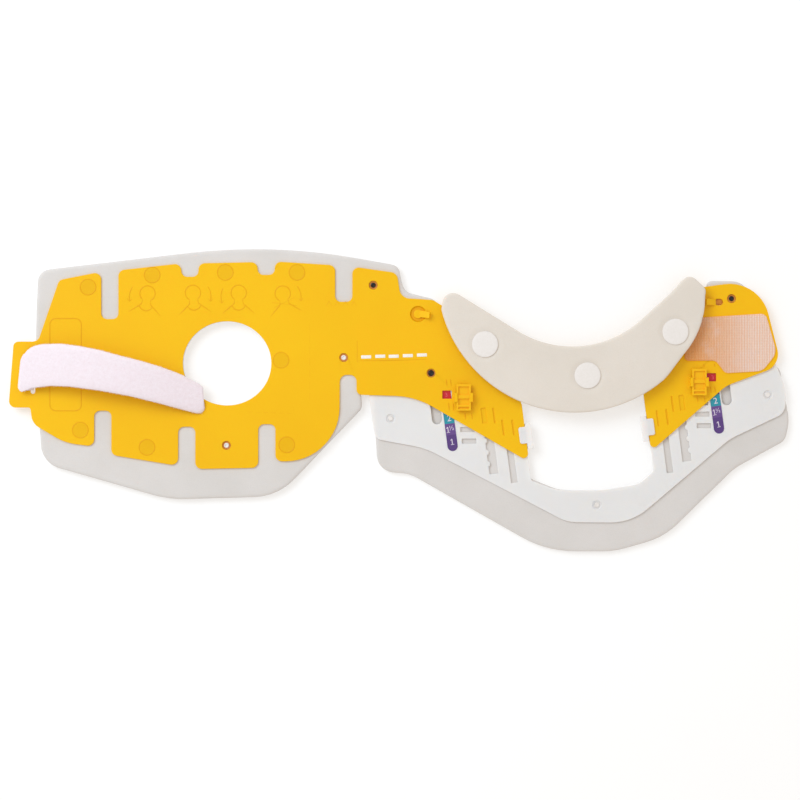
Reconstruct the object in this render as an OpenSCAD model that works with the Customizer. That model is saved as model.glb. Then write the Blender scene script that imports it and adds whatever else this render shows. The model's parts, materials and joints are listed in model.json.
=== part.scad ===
// Adjustable cervical extrication collar, laid flat with its outer face up.
// The collar sheet carries the back pad, a flip-out chin support, two press locks and a
// closure strap. The chest plate slides under the sheet's two wings to set the height.
// X runs along the collar, Y from the chest edge to the head edge, Z up from the neck side.

/* [Sheets and foams] */
// Thickness of the collar sheet
shell_t = 1.4; // [1:0.1:1.8]
// Thickness of the sliding chest plate
plate_t = 1.4; // [1:0.1:1.8]
// Thickness of the foam under the chest plate
chest_foam_t = 5; // [4.5:0.5:8]
// Thickness of the chin support's plate
chin_plate_t = 1.4; // [1.2:0.1:1.8]
// Thickness of the foam on the chin support
chin_foam_t = 6; // [4:0.5:10]
// Thickness of the hook patch for the closure strap
patch_t = 1; // [0.6:0.1:1.4]

/* [Height adjustment] */
// Lean of the slide direction from the Y axis, in degrees
slide_lean = 7.5; // [6:0.5:9]
// Travel of the chest plate from the tallest size to the shortest
slide_travel = 36.4; // [30:0.1:36.4]
// Radius of the two shoulder rivets that hold the chest plate
slide_rivet_r = 3.4; // [2.6:0.1:3.5]
// Radius of the moulded pegs that run in the chest plate's slots
peg_r = 2.2; // [1.6:0.1:2.2]
// How far each lock is pressed down into the chest plate
lock_travel = 1.6; // [1.2:0.1:1.6]

/* [Back pad] */
// Width of the round opening over the neck
hole_w = 69; // [50:1:72]
// Height of the opening over the neck
hole_h = 65.6; // [50:0.2:72]
// Width of the flex notches in the collar sheet
notch_w = 13.4; // [10:0.2:14]

/* [Chin support] */
// Radius of the hinge pins
pin_r = 1; // [0.8:0.1:1.1]
// Outer radius of the hinge knuckles
knuckle_r = 2.1; // [1.9:0.1:2.1]
// Radius of the white rivet heads on the chin foam
chin_rivet_r = 10; // [7:0.5:11]

/* [Closure strap] */
// Width of the closure strap at its fold
strap_w = 32; // [25:1:33]
// Thickness of the closure strap
strap_t = 1.8; // [1.2:0.1:2]
// Height of the strap's arch above its two ends
strap_arch = 13; // [6:1:20]

/* [Hidden] */
$fn = 64;
LEFT = 1;
RIGHT = -1;
slack = 0.3;

// Heights of the stacked layers
plate_z = chest_foam_t + 0.1;
shell_z = plate_z + plate_t + 0.2;
shell_top = shell_z + shell_t;
lip_z = shell_top + 0.2;
lip_t = 1;
flange_z = lip_z + lip_t + 0.2;
flange_t = 0.7;
chin_plate_z = flange_z + flange_t;
chin_foam_z = chin_plate_z + chin_plate_t;
thin_foam_t = plate_z - 0.5;

// Closed outlines, as corners [x, y, radius] in order around the shape
hole_centre = [-134.5, 29];
lip_r = 5;
neck_lip = [[-2, 99.5, 6], [1, 80, 8], [26, 78.5, 6], [34, 73.5, 3]];
right_wing = [[237, 88.5, 5], [281, 94.5, 31], [298, 27.5, 14], [255, 11.5, 25], [196.2, -39.5, 3.2]];
left_wing = [[101.2, -48, 3.5], [12, 3, 60]];
panel_corner = [[-47, -47.5, 42]];
panel_left = [[-261, -33, 40], [-286.5, -18, 12], [-288, -5.5, 2], [-305, -5.5, 5],
              [-301, 46, 4], [-282, 46, 6], [-265.5, 94, 5]];
back_foam_edge = [[-282.5, 101.5, 10], [-100, 123, 450], [-1, 105.5, 7], [3.5, 85, 9], [26, 79.5, 4],
                  [31, 75, 3], [31, 60, 4], [-33, 60, 3], [-30, 4, 3], [-29, -6, 6],
                  [-95, -75, 45], [-180, -77.5, 90], [-279.5, -49, 20], [-284.5, 40, 150]];
side_foam_edge = [[240, 77, 4], [240, 93.5, 4], [266, 93.3, 14], [280, 77, 5]];
plate_edge = [[-25, 29, 6], [45, 29, 10], [94, 5, 2], [102.8, -62.5, 3], [122, -70, 40],
              [158, -70, 60], [187, -65.5, 20], [198.3, -55, 4], [189.6, 11, 2], [240, 45.5, 8],
              [257.5, 45.5, 5], [262, 37, 4], [290, 37, 14], [302.5, 8, 40], [300.5, -10, 10],
              [258, -30, 40], [181, -95.5, 45], [131, -95, 28], [20, -37.2, 60], [-19, -30, 7],
              [-24, 4, 0]];
chest_foam_edge = [[-21, 8, 4], [92, 2, 2], [101.8, -60.7, 3], [124, -69.8, 30], [158, -70.5, 60],
                   [187, -66, 20], [198.8, -55.5, 4], [190.5, 5, 2], [240, 28, 8], [297, 28, 8],
                   [305, -16, 30], [301.5, -31.5, 9], [262, -53, 45], [207, -107, 60],
                   [168, -118, 60], [115, -118, 85], [8, -57.3, 30], [-17, -55.5, 14]];
patch_edge = [[226, 64.2, 3], [285.5, 67.8, 5], [294.2, 37, 11], [283, 23, 9], [254, 21.3, 5],
              [246.5, 31.2, 5], [222, 31, 3]];

// Flex notches: [x of the middle, y of the bottom, y of the mouth on each side]
top_notches = [[-226, 63.5, 100.5, 101.5], [-163.5, 96.5, 107, 107], [-104, 98, 108, 108.5],
               [-43.5, 77, 105.5, 104.5]];
bottom_notches = [[-103.5, -18.5, -47.5, -52.5], [-166, -20.5, -53.5, -51],
                  [-231.5, -8, -42.5, -36]];
neck_notch = [[-33.5, 4.5, 4], [-33.5, 20, 5.4], [-46.5, 20, 5.4]];
notch_r = 4.6;

// Guide groups: where each shoulder rivet stands, and how the right group is set
rivet_at = [[24.6, 21.4], [250.8, 36.3]];
right_gather = 0.96;
right_lift = 0.125;
window = [10.2, -18.3];
window_size = [7.4, 6.4];
label_u = 9.3;
label_w = 8;
label_top = -12;
label_end = -62.6;
label_t = 0.15;
slide_slot_w = 7.8;
rack_u = 38.5;
rack_w = 7;
rack_end = -84.4;
rack_pitch = 9.1;
tooth_r = 2.3;
straight_u = 53.4;
straight_w = 5;
straight_end = -93.4;
rack_peg = [39.6, -38.3];
straight_peg = [53.4, -49.6];
slit_l = 12;
slit_floor = 0.5;
slits = [[36.7, -38.3, 3.9], [44.4, -39.3, 1.2], [50.1, -49.5, 1.2], [57.9, -50.5, 1.2]];
guide_lip = [[61.8, -64], [71.6, -51]];
guide_post = [[67.2, -69], [71.8, -48.5]];
post_room = 0.5;
guide_corner_r = 1.6;

// Press locks
lock_at = [[50, 2.4], [233.4, 14.4]];
lock_size = [11.2, 20.6];
blade_at = [-0.4, 2];
blade_size = [10, 3];
lock_steps = [0, 0.5, 0.75, 1];
lock_z = shell_top + lock_travel + 0.1;
lock_h = 3.2;
catch_t = 1.2;
catch_l = 7;
catch_lip = 1;

// Chin support
chin_centre = [136, 97.5];
chin_r = 107;
bay_centre = [134, 122];
bay_r = 80;
tip_left = [41.5, 75.5, 8.2];
tip_right = [[231, 83.5, 6.6], [225.2, 89.9, 5.1]];
bridge_centre = [130.5, 151];
bridge_r = 114.5;
hinge_at = [[41.5, 79.7], [226, 90.8]];
hinge_angle = atan2(hinge_at[1].y - hinge_at[0].y, hinge_at[1].x - hinge_at[0].x);
hinge_z = chin_foam_z - knuckle_r - 0.1;
hinge_l = 12;
tongue_w = 5.4;
chin_rivet_at = [[66.3, 43.7], [145.9, 19.5], [214.1, 53.4]];

// Rivets and moulded hooks
white_rivet_at = [[-43.5, 33.5], [-135, -35]];
black_rivet_at = [[-20.5, 90], [259, 79.5]];
chest_rivet_at = [[-7, -14], [154, -81.5], [287.5, 4.5]];
rivet_shank_r = 2;
rivet_head_r = 5;
counterbore_r = 3.4;
counterbore_t = 1;
plate_bore_t = 0.6;
rivet_drop = 0.5;
slide_shank_r = 2.4;
slide_head_r = 6;
hook_left = [14.5, 67.5];
hook_right = [249, 76.8];

// Closure strap
slot_at = [-286, 23];
slot_w = 3.6;
strap_centre = [-268, -296];
strap_r = 320;
strap_fold_x = -294.6;
strap_tip_x = -152;
fold_r = 1.1;
fold_z = shell_top + strap_t + fold_r;
strap_steps = 28;

function xy(p) = [p[0], p[1]];
function unit(v) = v / norm(v);
function turned(v, a) = [v.x * cos(a) - v.y * sin(a), v.x * sin(a) + v.y * cos(a)];
function arc(centre, r, from, to, steps) =
    [for (i = [0:steps]) centre + r * [cos(from + (to - from) * i / steps),
                                       sin(from + (to - from) * i / steps)]];
function ellipse(centre, w, h, steps) =
    [for (i = [1:steps]) centre + [w * cos(360 * i / steps), h * sin(360 * i / steps)] / 2];
function along_slide(distance) = turned([0, distance], slide_lean);
function middle(box) = (box[0] + box[1]) / 2;

// A corner [x, y, radius] as the points of its fillet
function fillet(before, corner, after) =
    let (p = xy(corner), u = unit(before - p), v = unit(after - p), r = corner[2],
         half = acos(u * v) / 2, start = p + u * r / tan(half),
         middle = p + unit(u + v) * r / sin(half), side = u.x * v.y - u.y * v.x < 0 ? 1 : -1,
         sweep = side * (180 - 2 * half), steps = ceil(abs(sweep) / min(15, 45 / sqrt(r))))
    [for (i = [0:steps]) middle + turned(start - middle, sweep * i / steps)];

function rounded(corners) =
    let (n = len(corners))
    [for (i = [0:n - 1]) each corners[i][2] == 0 ? [xy(corners[i])]
        : fillet(xy(corners[(i + n - 1) % n]), corners[i], xy(corners[(i + 1) % n]))];

function sharp(points) = [for (p = points) [p.x, p.y, 0]];

// The four corners of a notch, run in the direction way (1 rightwards, -1 leftwards)
function notch(n, way) =
    let (a = n[0] - way * notch_w / 2, b = n[0] + way * notch_w / 2)
    [[a, n[2], lip_r], [a, n[1], notch_r], [b, n[1], notch_r], [b, n[3], lip_r]];

// A place in a guide group: u towards the collar's middle, v along the slide
function spot(side, u, v) =
    rivet_at[side == LEFT ? 0 : 1]
    + turned(side == LEFT ? [u, v] : [-u * right_gather, v + right_lift * u], slide_lean);

// The chin crescent's outline, drawn in by inset all round
function crescent(inset) = concat(
    arc(chin_centre, chin_r - inset, 194.5, 340, 40),
    arc(xy(tip_right[0]), tip_right[0][2] - inset, -10, 48, 6),
    arc(xy(tip_right[1]), tip_right[1][2] - inset, 52, 132, 8),
    arc(bay_centre, bay_r + inset, 314, 240, 32),
    arc(xy(tip_left), tip_left[2] - inset, 58, 185, 12));

// Height of the middle of the strap above its place along the collar
function strap_z(t) = fold_z + fold_r + strap_t / 2 - 3.4 * t + strap_arch * sin(180 * t);

module sheet(points, z, t) {
    translate([0, 0, z]) linear_extrude(t) polygon(points);
}

module block(centre, size, z, t, turn = 0) {
    translate([centre.x, centre.y, z + t / 2]) rotate(turn) cube([size.x, size.y, t], center = true);
}

module disc(centre, r, z, t) {
    translate([centre.x, centre.y, z]) cylinder(r = r, h = t);
}

// A round-ended slot from one point to another
module slot(from, to, w, z, t) {
    way = to - from;
    heading = atan2(way.y, way.x);
    sheet(concat(arc(from, w / 2, heading + 90, heading + 270, 12),
                 arc(to, w / 2, heading - 90, heading + 90, 12)), z, t);
}

module neck_opening() {
    sheet(ellipse(hole_centre, hole_w, hole_h, 72), -1, shell_top + 2);
}

module rivet_seat(p) {
    disc(p, counterbore_r, shell_top - counterbore_t, counterbore_t + 1);
    disc(p, rivet_shank_r, -1, shell_top + 2);
}

// A foam rivet: a head set into the underside and a shank up to the sheet's face
module foam_rivet(p, top) {
    disc(p, rivet_head_r, 0.4, 1);
    disc(p, rivet_shank_r, 1.4, top - 1.5);
}

module foam_rivet_seat(p) {
    disc(p, rivet_head_r, -1, 2.4);
    disc(p, rivet_shank_r, 0, shell_top);
}

// Places a child on a hinge end, with X along the pin and Z through its middle
module at_hinge(i) {
    translate([hinge_at[i].x, hinge_at[i].y, hinge_z]) rotate(hinge_angle) children();
}

module barrel(from, to, r) {
    translate([from, 0, 0]) rotate([0, 90, 0]) cylinder(r = r, h = to - from);
}

module hinge_lug(i) {
    inner = tongue_w / 2 + slack;
    at_hinge(i) difference() {
        union() {
            translate([-hinge_l / 2, -9, shell_z - hinge_z]) cube([hinge_l, 10, shell_t]);
            barrel(-hinge_l / 2, -inner, knuckle_r);
            barrel(inner, hinge_l / 2, knuckle_r);
        }
        translate([-inner, -3, shell_z - hinge_z - 1]) cube([2 * inner, 5, shell_t + 2]);
        barrel(-hinge_l, hinge_l, pin_r);
    }
}

module guide_cuts(side) {
    i = side == LEFT ? 0 : 1;
    disc(rivet_at[i], counterbore_r, shell_top - counterbore_t, counterbore_t + 1);
    disc(rivet_at[i], slide_shank_r, shell_z - 1, shell_t + 2);
    block(spot(side, window.x, window.y), window_size, shell_z - 1, shell_t + 2);
    block(lock_at[i] + blade_at, blade_size + 2 * [slack, slack], shell_z - 1, shell_t + 2);
    for (s = slits)
        block(spot(side, s[0], s[1]), [s[2], slit_l], shell_z + slit_floor, shell_t, slide_lean);
}

// Room in the sheet for the chest plate's guide post at the top of its travel
module post_relief(side) {
    post = guide_post[1] - guide_post[0];
    top = spot(side, middle(guide_post).x, middle(guide_post).y) + along_slide(slide_travel);
    block(top, post + 2 * [post_room, post_room], shell_z - 1, shell_t + 2, slide_lean);
}

// Two moulded catches that hold a lock and let it slide down
module lock_catches(i) {
    lip_base = lock_z + lock_h + 0.2;
    for (way = [-1, 1]) {
        x = way * (lock_size.x / 2 + slack + catch_t / 2);
        block(lock_at[i] + [x, 0], [catch_t, catch_l], shell_top - 0.1, lip_base - shell_top + 1.1);
        block(lock_at[i] + [x - way * catch_lip / 2, 0], [catch_t + catch_lip, catch_l], lip_base, 1);
    }
}

module shell_outline() {
    bridge = arc(bridge_centre, bridge_r, 223, 323, 28);
    throat = arc(chin_centre, chin_r - 15.5, 304.7, 241.9, 18);
    edge = concat(
        [for (n = top_notches) each notch(n, 1)], neck_lip, sharp(bridge), right_wing,
        sharp(throat), left_wing, neck_notch, panel_corner,
        [for (n = bottom_notches) each notch(n, -1)], panel_left);
    sheet(rounded(edge), shell_z, shell_t);
}

// A tongue bent up out of the sheet, to hold an oxygen tube
module tube_hook(p, way, lean) {
    translate([p.x, p.y, shell_top - shell_t / 2]) rotate(lean) rotate([0, -32 * way, 0])
        translate([way > 0 ? 0 : -9, -2.5, -shell_t / 2]) cube([9, 5, shell_t]);
}

module shell() color("gold") {
    difference() {
        shell_outline();
        neck_opening();
        for (p = concat(white_rivet_at, black_rivet_at)) rivet_seat(p);
        guide_cuts(LEFT);
        guide_cuts(RIGHT);
        post_relief(LEFT);
        post_relief(RIGHT);
        slot(slot_at - [0, strap_w / 2], slot_at + [0, strap_w / 2], slot_w, shell_z - 1, shell_t + 2);
        difference() {
            disc(hook_left, 6.2, shell_z - 1, shell_t + 2);
            disc(hook_left, 3.4, shell_z - 2, shell_t + 4);
            block(hook_left + [8, 0], [12, 5.2], shell_z - 2, shell_t + 4);
        }
        slot(hook_right - [0.8, 0], hook_right + [0.8, 0], 5, shell_z - 1, shell_t + 2);
        for (i = [0, 1])
            at_hinge(i) translate([-tongue_w / 2 - slack, -3, shell_z - hinge_z - 1])
                cube([tongue_w + 2 * slack, 8, shell_t + 2]);
    }
    for (i = [0, 1]) {
        hinge_lug(i);
        lock_catches(i);
    }
    for (side = [LEFT, RIGHT])
        for (peg = [rack_peg, straight_peg])
            disc(spot(side, peg.x, peg.y), peg_r, plate_z + 0.1, shell_z - plate_z);
    tube_hook(hook_left + [1.5, 0], 1, -8);
    tube_hook(hook_right - [2.6, 0], -1, 0);
}

module back_foam() color("gainsboro") difference() {
    sheet(rounded(back_foam_edge), 0, shell_z);
    neck_opening();
    translate([-33.5, 55, thin_foam_t]) cube([70, 12, shell_z]);
    foam_rivet_seat(white_rivet_at[0]);
    foam_rivet_seat(white_rivet_at[1]);
    foam_rivet_seat(black_rivet_at[0]);
}

module side_foam_right() color("gainsboro") difference() {
    sheet(rounded(side_foam_edge), 0, shell_z);
    translate([235, 70, thin_foam_t]) cube([60, 13.5, shell_z]);
    foam_rivet_seat(black_rivet_at[1]);
}

module foam_rivets_white() color("white") {
    for (p = white_rivet_at) foam_rivet(p, shell_top - rivet_drop);
}

module foam_rivets_black() color("black") {
    for (p = black_rivet_at) foam_rivet(p, shell_top - rivet_drop);
}

module slide_rivets() color("black") {
    for (p = rivet_at) {
        disc(p, slide_shank_r, shell_z - 0.1, shell_t + 0.1 - rivet_drop);
        disc(p, slide_rivet_r, plate_z - 0.05, plate_t + 0.2);
        disc(p, slide_head_r, plate_z - 1.1, 1.05);
    }
}

// Slots that let one guide group of the collar sheet travel in the chest plate
module plate_slots(side) {
    i = side == LEFT ? 0 : 1;
    z = plate_z - 1;
    t = plate_t + 2;
    down = -along_slide(1);
    rack_base = spot(side, rack_u, rack_end);
    rack_l = rack_peg.y + peg_r + 1 - rack_end;
    straight_base = spot(side, straight_u, straight_end);
    straight_l = straight_peg.y + peg_r + 1 - straight_end;
    slot(rivet_at[i], rivet_at[i] + down * slide_travel, slide_slot_w, z, t);
    tooth_base = rack_base - turned([side * (rack_w / 2 + 0.6), 0], slide_lean);
    difference() {
        block(rack_base - down * rack_l / 2, [rack_w, rack_l], z, t, slide_lean);
        for (k = [0:3])
            disc(tooth_base - down * rack_pitch * (k + 0.9), tooth_r, z - 1, t + 2);
    }
    block(straight_base - down * straight_l / 2, [straight_w, straight_l], z, t, slide_lean);
    for (step = lock_steps)
        block(lock_at[i] + blade_at + down * slide_travel * step, blade_size + [1.2, 0.9], z, t);
}

// A block with rounded corners, set along the slide
module soft_block(centre, size, z, t) {
    corners = [for (k = [[1, -1], [1, 1], [-1, 1], [-1, -1]])
        centre + turned([k.x * size.x, k.y * size.y] / 2, slide_lean)];
    sheet(rounded([for (c = corners) [c.x, c.y, guide_corner_r]]), z, t);
}

// A lip of the chest plate that hooks over the inner edge of one wing
module guide(side) {
    post = guide_post[1] - guide_post[0];
    lip = guide_lip[1] - guide_lip[0];
    post_at = spot(side, middle(guide_post).x, middle(guide_post).y);
    lip_at = spot(side, middle(guide_lip).x, middle(guide_lip).y);
    foot_at = post_at - turned([side * 2, 0], slide_lean);
    block(foot_at, post + [3, -1], plate_z, plate_t, slide_lean);
    soft_block(post_at, post, plate_z + 0.1, lip_z + lip_t - plate_z - 0.1);
    soft_block(lip_at, lip, lip_z, lip_t);
}

module chest_plate() color("whitesmoke") {
    difference() {
        sheet(rounded(plate_edge), plate_z, plate_t);
        plate_slots(LEFT);
        plate_slots(RIGHT);
        for (p = chest_rivet_at) {
            disc(p, rivet_shank_r, plate_z - 1, plate_t + 2);
            disc(p, counterbore_r, plate_z + plate_t - plate_bore_t, plate_bore_t + 1);
        }
    }
    guide(LEFT);
    guide(RIGHT);
}

module chest_foam() color("gainsboro") difference() {
    sheet(rounded(chest_foam_edge), 0, chest_foam_t);
    for (p = chest_rivet_at) {
        disc(p, rivet_head_r, -1, 2.4);
        disc(p, rivet_shank_r, 0, chest_foam_t + 1);
    }
    for (p = rivet_at)
        slot(p + along_slide(2), p - along_slide(slide_travel), 13, chest_foam_t - 1.2, 2);
}

module chest_rivets() color("white") {
    for (p = chest_rivet_at) foam_rivet(p, plate_z + plate_t);
}

// The size scale stuck on the chest plate, read through the window and below the wing
module size_label(side) {
    top = spot(side, label_u, label_top);
    end = spot(side, label_u, label_end) + along_slide(label_w / 2);
    z = plate_z + plate_t;
    block((top + end) / 2, [label_w, norm(top - end)], z, label_t, slide_lean);
    disc(end, label_w / 2, z, label_t);
}

module size_label_left() color("indigo") size_label(LEFT);

module size_label_right() color("indigo") size_label(RIGHT);

// A press lock: a ribbed cap over a blade that drops into the chest plate
module lock(i) {
    c = lock_at[i];
    difference() {
        block(c, lock_size, lock_z, lock_h);
        block(c + [0, 5.2], [8.4, 6.6], lock_z + 1.8, lock_h);
        block(c - [0, 3.4], [8.4, 5], lock_z + 1.8, lock_h);
        block(c - [0, 8.2], [8.4, 1.8], lock_z + 1.8, lock_h);
    }
    block(c + blade_at, blade_size, shell_z + 0.05, lock_z - shell_z);
}

module lock_left() color("goldenrod") lock(0);

module lock_right() color("goldenrod") lock(1);

module chin_plate() color("ivory") difference() {
    union() {
        difference() {
            sheet(crescent(3.5), chin_plate_z, chin_plate_t);
            for (i = [0, 1])
                at_hinge(i) translate([-20, -2.6, -5]) cube([40, 20, 20]);
        }
        for (i = [0, 1])
            at_hinge(i) {
                translate([-tongue_w / 2, -6, chin_plate_z - hinge_z]) cube([tongue_w, 6, chin_plate_t]);
                barrel(-tongue_w / 2, tongue_w / 2, knuckle_r);
            }
    }
    for (i = [0, 1])
        at_hinge(i) barrel(-hinge_l, hinge_l, pin_r + 0.06);
    for (p = chin_rivet_at)
        disc(p, 3, chin_plate_z - 1, chin_plate_t + 2);
}

module chin_foam() color("linen") difference() {
    sheet(crescent(0), chin_foam_z, chin_foam_t);
    for (p = chin_rivet_at) {
        disc(p, 3, chin_foam_z - 1, chin_foam_t + 2);
        disc(p, chin_rivet_r, chin_foam_z + chin_foam_t - 0.6, 2);
    }
}

module chin_rivets() color("white") {
    for (p = chin_rivet_at) {
        disc(p, 4.5, flange_z, flange_t);
        disc(p, 3, chin_plate_z, chin_plate_t + chin_foam_t - 0.6);
        disc(p, chin_rivet_r, chin_foam_z + chin_foam_t - 0.6, 1.2);
    }
}

module chin_hinge_pins() color("silver") {
    for (i = [0, 1])
        at_hinge(i) barrel(-hinge_l / 2, hinge_l / 2, pin_r);
}

// The band's outline from above: an arc of strap_r that narrows towards its tip
function strap_plan() =
    let (from = acos((strap_fold_x - 6 - strap_centre.x) / strap_r),
         to = acos((strap_tip_x - strap_centre.x) / strap_r),
         at = [for (i = [0:strap_steps]) i / strap_steps],
         ray = [for (t = at) [cos(from + (to - from) * t), sin(from + (to - from) * t)]],
         half = [for (t = at) strap_w / 2 - 4 * t * t])
    concat(
        [for (i = [0:strap_steps - 1]) concat(strap_centre + ray[i] * (strap_r + half[i]), [0])],
        [concat(strap_centre + ray[strap_steps] * (strap_r + half[strap_steps]), [5])],
        [concat(strap_centre + ray[strap_steps] * (strap_r - half[strap_steps]), [5])],
        [for (i = [strap_steps - 1:-1:0]) concat(strap_centre + ray[i] * (strap_r - half[i]), [0])]);

module strap_profile(points) {
    translate([0, 100, 0]) rotate([90, 0, 0]) linear_extrude(200) polygon(points);
}

// The tape's end: flat on the sheet, down through the slot and flat again underneath
module strap_root() color("lavenderblush") {
    y = strap_centre.y + sqrt(strap_r * strap_r - pow(strap_fold_x - strap_centre.x, 2));
    translate([strap_fold_x, y - strap_w / 2 + 1, shell_top])
        cube([slot_at.x + strap_t / 2 - strap_fold_x, strap_w - 2, strap_t]);
    translate([slot_at.x - strap_t / 2, y - strap_w / 2 + 1, shell_z - strap_t])
        cube([strap_t, strap_w - 2, shell_t + strap_t + 0.2]);
    translate([slot_at.x - 15, y - strap_w / 2 + 1, shell_z - strap_t])
        cube([15, strap_w - 2, strap_t]);
}

// The turn of the tape between its fixed end and its free end
module strap_fold() color("lavenderblush") intersection() {
    sheet(rounded(strap_plan()), 0, 40);
    strap_profile(concat(arc([strap_fold_x, fold_z], fold_r + strap_t, 90, 270, 16),
                         arc([strap_fold_x, fold_z], fold_r, 270, 90, 16)));
}

module closure_strap() color("lavenderblush") {
    at = [for (i = [0:strap_steps]) i / strap_steps];
    x = [for (t = at) strap_fold_x + (strap_tip_x - strap_fold_x) * t];
    top = [for (i = [0:strap_steps]) [x[i], strap_z(at[i]) + strap_t / 2]];
    under = [for (i = [strap_steps:-1:0]) [x[i], strap_z(at[i]) - strap_t / 2]];
    intersection() {
        sheet(rounded(strap_plan()), 0, 60);
        strap_profile(concat(top, under));
    }
}

module hook_patch() color("mistyrose") {
    sheet(rounded(patch_edge), shell_top, patch_t);
}

shell();
back_foam();
side_foam_right();
foam_rivets_white();
foam_rivets_black();
slide_rivets();
chest_plate();
chest_foam();
chest_rivets();
size_label_left();
size_label_right();
lock_left();
lock_right();
chin_plate();
chin_foam();
chin_rivets();
chin_hinge_pins();
strap_root();
strap_fold();
closure_strap();
hook_patch();
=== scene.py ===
import json
import math

import bmesh
import bpy
import numpy as np
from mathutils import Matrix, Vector


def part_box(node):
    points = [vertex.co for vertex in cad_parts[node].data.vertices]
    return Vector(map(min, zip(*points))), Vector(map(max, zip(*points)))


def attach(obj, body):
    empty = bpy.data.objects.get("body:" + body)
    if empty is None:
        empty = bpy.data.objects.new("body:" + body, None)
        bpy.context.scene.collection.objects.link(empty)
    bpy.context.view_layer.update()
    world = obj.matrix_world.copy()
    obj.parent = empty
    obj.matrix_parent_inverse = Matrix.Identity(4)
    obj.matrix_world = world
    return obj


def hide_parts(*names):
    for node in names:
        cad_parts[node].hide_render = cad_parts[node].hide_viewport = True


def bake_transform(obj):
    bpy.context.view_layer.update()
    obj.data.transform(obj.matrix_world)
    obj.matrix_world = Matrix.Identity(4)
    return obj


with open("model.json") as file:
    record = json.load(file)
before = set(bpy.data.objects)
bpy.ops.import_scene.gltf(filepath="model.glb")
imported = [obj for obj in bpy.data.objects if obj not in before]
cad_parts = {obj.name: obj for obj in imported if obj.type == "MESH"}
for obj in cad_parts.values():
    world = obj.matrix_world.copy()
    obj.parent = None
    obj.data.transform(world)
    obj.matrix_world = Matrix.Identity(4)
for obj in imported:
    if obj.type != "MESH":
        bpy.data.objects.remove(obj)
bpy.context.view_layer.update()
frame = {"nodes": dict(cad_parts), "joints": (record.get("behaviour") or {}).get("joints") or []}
MM = 0.001
NODES = frame["nodes"]
MERGE = 2e-6  # metres: CAD corners closer than this are one corner
LABEL_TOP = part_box("size_label_left")[1][2] / MM
SHELL_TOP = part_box("hook_patch")[0][2] / MM
SHELL_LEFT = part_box("shell")[0][0] / MM
CAMERA_HEIGHT = 1800  # millimetres above the sheet's top face
FRAME_WIDTH = 624  # millimetres of that face that the picture's width covers
FRAME_CENTRE = 0.4  # millimetres from the CAD origin to the picture's middle, both ways


# ---------------------------------------------------------------- materials
def linear(c):
    """A colour value from 0 to 255, as a linear value from 0 to 1."""
    return ((c / 255 + 0.055) / 1.055) ** 2.4 if c > 10 else c / 255 / 12.92


def srgb(r, g, b):
    return (linear(r), linear(g), linear(b), 1)


def dimmed(colour, by):
    return tuple(c * by for c in colour[:3]) + (1,)


class Paint:
    """One procedural material, with short calls for the nodes it uses."""

    def __init__(self, name, rough=0.5):
        self.m = bpy.data.materials.new(name)
        self.m.use_nodes = True
        self.t = self.m.node_tree
        self.b = self.t.nodes["Principled BSDF"]
        self.b.inputs["Roughness"].default_value = rough
        self.coord = self.t.nodes.new("ShaderNodeTexCoord").outputs["Object"]

    def node(self, kind, **inputs):
        n = self.t.nodes.new(kind)
        for name, value in inputs.items():
            n.inputs[name.title()].default_value = value
        return n

    def link(self, a, b):
        self.t.links.new(a, b)

    def noise(self, scale, detail=2.0, rough=0.5):
        n = self.node("ShaderNodeTexNoise", scale=scale, detail=detail, roughness=rough)
        self.link(self.coord, n.inputs["Vector"])
        return n.outputs["Fac"]

    def cells(self, scale):
        n = self.node("ShaderNodeTexVoronoi", scale=scale)
        self.link(self.coord, n.inputs["Vector"])
        return n.outputs["Distance"]

    def ramp(self, fac, stops):
        r = self.t.nodes.new("ShaderNodeValToRGB")
        e = r.color_ramp.elements
        while len(e) < len(stops):
            e.new(0.5)
        for el, (pos, col) in zip(e, stops):
            el.position = pos
            el.color = col if len(col) == 4 else (*col, 1)
        self.link(fac, r.inputs["Fac"])
        return r.outputs["Color"]

    def tint(self, fac, stops, under, over):
        """Mixes the colour over in, by as much as the (place, amount) stops say."""
        amount = self.ramp(fac, [(place, (grey,) * 3) for place, grey in stops])
        m = self.t.nodes.new("ShaderNodeMix")
        m.data_type = "RGBA"
        ins = [i for i in m.inputs if i.type == "RGBA"]
        self.link(amount, m.inputs[0])
        self.link(under, ins[0])
        ins[1].default_value = over
        return [o for o in m.outputs if o.type == "RGBA"][0]

    def colour(self, socket):
        self.link(socket, self.b.inputs["Base Color"])

    def roughness(self, fac, low, high):
        r = self.node("ShaderNodeMapRange")
        r.inputs["To Min"].default_value = low
        r.inputs["To Max"].default_value = high
        self.link(fac, r.inputs["Value"])
        self.link(r.outputs["Result"], self.b.inputs["Roughness"])

    def bump(self, *layers):
        """Each layer is (height, strength, distance in millimetres)."""
        last = None
        for height, strength, reach in layers:
            n = self.t.nodes.new("ShaderNodeBump")
            n.inputs["Strength"].default_value = strength
            n.inputs["Distance"].default_value = reach * MM
            self.link(height, n.inputs["Height"])
            if last:
                self.link(last, n.inputs["Normal"])
            last = n.outputs["Normal"]
        self.link(last, self.b.inputs["Normal"])

    def set(self, **values):
        for name, value in values.items():
            self.b.inputs[name.replace("_", " ")].default_value = value

    def through(self, weight, radius):
        """Lets light into the material, as far as radius in metres for red, green and blue."""
        self.set(Subsurface_Weight=weight, Subsurface_Radius=radius, Subsurface_Scale=1.0)


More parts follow.
